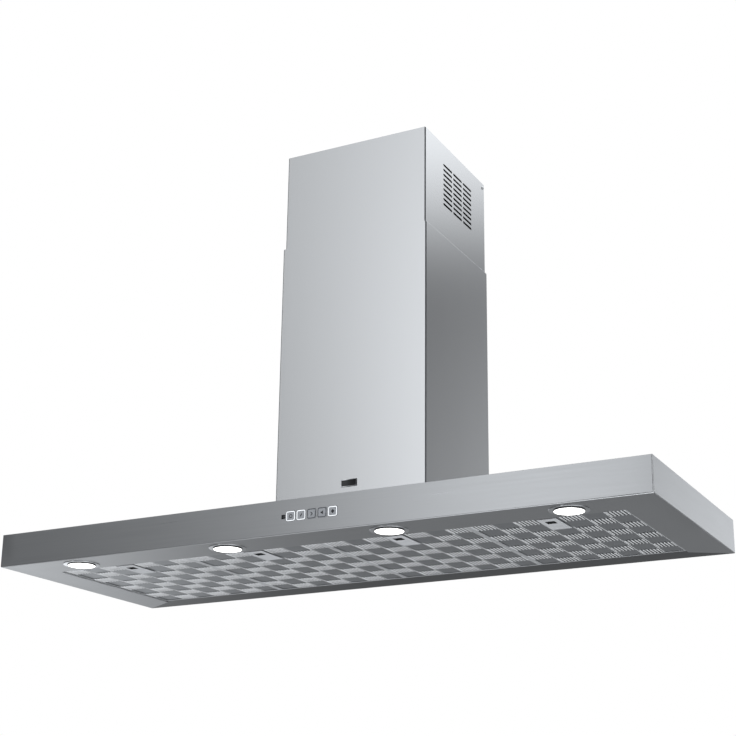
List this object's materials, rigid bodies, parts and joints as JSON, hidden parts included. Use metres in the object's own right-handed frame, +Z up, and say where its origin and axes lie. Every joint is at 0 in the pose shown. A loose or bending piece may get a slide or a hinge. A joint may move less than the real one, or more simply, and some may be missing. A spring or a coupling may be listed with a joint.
{
  "type": "chimney range hood",
  "caption": "Flat-canopy kitchen extractor hood for a wall, with a telescoping chimney, drop-down grease filters, lamps, push buttons and a fan.",
  "frame": {"origin": "on the wall plane, halfway along the canopy, level with the underside of the canopy", "axes": "+X along the canopy, +Y into the wall, +Z up; the front of the hood faces -Y"},
  "size_m": [1.2, 0.4508, 0.789],
  "materials": {
    "brushed_steel": "long-grain brushed stainless steel",
    "filter_steel": "pressed stainless steel, satin",
    "galvanised_steel": "bare galvanised steel",
    "chrome": "bright chrome plate",
    "aluminium": "plain aluminium",
    "lamp_white": "opal lamp lens, lit",
    "key_grey": "satin grey keys",
    "black_plastic": "smooth black plastic",
    "grey_plastic": "moulded grey plastic",
    "motor_black": "black enamelled motor case",
    "circuit_board": "coated circuit board"
  },
  "bodies": {
    "root": {"canopy_shell": "brushed_steel", "top_panel": "brushed_steel", "back_panel": "brushed_steel", "lower_chimney": "brushed_steel", "badge_plate": "black_plastic", "lamp_lens_1": "lamp_white", "lamp_trim_1": "chrome", "lamp_housing_1": "aluminium", "lamp_lens_2": "lamp_white", "lamp_trim_2": "chrome", "lamp_housing_2": "aluminium", "lamp_lens_3": "lamp_white", "lamp_trim_3": "chrome", "lamp_housing_3": "aluminium", "lamp_lens_4": "lamp_white", "lamp_trim_4": "chrome", "lamp_housing_4": "aluminium", "control_housing": "black_plastic", "control_board": "circuit_board", "indicator_window": "black_plastic", "blower_box": "galvanised_steel", "outlet_collar": "grey_plastic", "damper_pin": "chrome", "flex_hose": "aluminium", "terminal_box": "black_plastic", "cable_gland": "black_plastic", "scroll_left": "grey_plastic", "scroll_right": "grey_plastic", "motor": "motor_black", "motor_spider": "galvanised_steel"},
    "upper_chimney": {"upper_chimney": "brushed_steel", "chimney_bracket": "galvanised_steel", "chimney_screw_left": "chrome", "chimney_screw_right": "chrome", "air_deflector": "grey_plastic"},
    "filter_1": {"filter_frame_1": "filter_steel", "filter_screen_1": "filter_steel", "filter_mesh_1": "aluminium"},
    "latch_1": {"filter_latch_1": "chrome"},
    "filter_2": {"filter_frame_2": "filter_steel", "filter_screen_2": "filter_steel", "filter_mesh_2": "aluminium"},
    "latch_2": {"filter_latch_2": "chrome"},
    "filter_3": {"filter_frame_3": "filter_steel", "filter_screen_3": "filter_steel", "filter_mesh_3": "aluminium"},
    "latch_3": {"filter_latch_3": "chrome"},
    "filter_4": {"filter_frame_4": "filter_steel", "filter_screen_4": "filter_steel", "filter_mesh_4": "aluminium"},
    "latch_4": {"filter_latch_4": "chrome"},
    "button_1": {"push_button_1": "key_grey"},
    "button_2": {"push_button_2": "key_grey"},
    "button_3": {"push_button_3": "key_grey"},
    "button_4": {"push_button_4": "key_grey"},
    "button_5": {"push_button_5": "key_grey"},
    "fan": {"fan_wheel": "galvanised_steel", "motor_shaft": "chrome"},
    "damper_front": {"damper_flap_front": "grey_plastic"},
    "damper_rear": {"damper_flap_rear": "grey_plastic"}
  },
  "joints": [
    {"name": "chimney_slide", "type": "slide", "parent": "root", "child": "upper_chimney", "axis": [0, 0, 1], "range_m": [-0.15, 0.15], "deforming": ["flex_hose"]},
    {"name": "filter_hinge_1", "type": "hinge", "parent": "root", "child": "filter_1", "pos_m": [0, -0.042, 0.005], "axis": [1, 0, 0], "range_deg": [0, 60]},
    {"name": "latch_slide_1", "type": "slide", "parent": "filter_1", "child": "latch_1", "axis": [0, 1, 0], "range_m": [0, 0.005], "stiffness_N_per_m": 500, "springref_m": -0.004},
    {"name": "filter_hinge_2", "type": "hinge", "parent": "root", "child": "filter_2", "pos_m": [0, -0.042, 0.005], "axis": [1, 0, 0], "range_deg": [0, 60]},
    {"name": "latch_slide_2", "type": "slide", "parent": "filter_2", "child": "latch_2", "axis": [0, 1, 0], "range_m": [0, 0.005], "stiffness_N_per_m": 500, "springref_m": -0.004},
    {"name": "filter_hinge_3", "type": "hinge", "parent": "root", "child": "filter_3", "pos_m": [0, -0.042, 0.005], "axis": [1, 0, 0], "range_deg": [0, 60]},
    {"name": "latch_slide_3", "type": "slide", "parent": "filter_3", "child": "latch_3", "axis": [0, 1, 0], "range_m": [0, 0.005], "stiffness_N_per_m": 500, "springref_m": -0.004},
    {"name": "filter_hinge_4", "type": "hinge", "parent": "root", "child": "filter_4", "pos_m": [0, -0.042, 0.005], "axis": [1, 0, 0], "range_deg": [0, 60]},
    {"name": "latch_slide_4", "type": "slide", "parent": "filter_4", "child": "latch_4", "axis": [0, 1, 0], "range_m": [0, 0.005], "stiffness_N_per_m": 500, "springref_m": -0.004},
    {"name": "button_press_1", "type": "slide", "parent": "root", "child": "button_1", "axis": [0, 1, 0], "range_m": [0, 0.0012], "stiffness_N_per_m": 800, "springref_m": -0.001},
    {"name": "button_press_2", "type": "slide", "parent": "root", "child": "button_2", "axis": [0, 1, 0], "range_m": [0, 0.0012], "stiffness_N_per_m": 800, "springref_m": -0.001},
    {"name": "button_press_3", "type": "slide", "parent": "root", "child": "button_3", "axis": [0, 1, 0], "range_m": [0, 0.0012], "stiffness_N_per_m": 800, "springref_m": -0.001},
    {"name": "button_press_4", "type": "slide", "parent": "root", "child": "button_4", "axis": [0, 1, 0], "range_m": [0, 0.0012], "stiffness_N_per_m": 800, "springref_m": -0.001},
    {"name": "button_press_5", "type": "slide", "parent": "root", "child": "button_5", "axis": [0, 1, 0], "range_m": [0, 0.0012], "stiffness_N_per_m": 800, "springref_m": -0.001},
    {"name": "fan_spin", "type": "hinge", "parent": "root", "child": "fan", "pos_m": [0, -0.123, 0.185], "axis": [1, 0, 0], "continuous": true},
    {"name": "damper_front_hinge", "type": "hinge", "parent": "root", "child": "damper_front", "pos_m": [0, -0.123, 0.3523], "axis": [-1, 0, 0], "range_deg": [0, 75]},
    {"name": "damper_rear_hinge", "type": "hinge", "parent": "root", "child": "damper_rear", "pos_m": [0, -0.123, 0.3523], "axis": [1, 0, 0], "range_deg": [0, 75]}
  ]
}
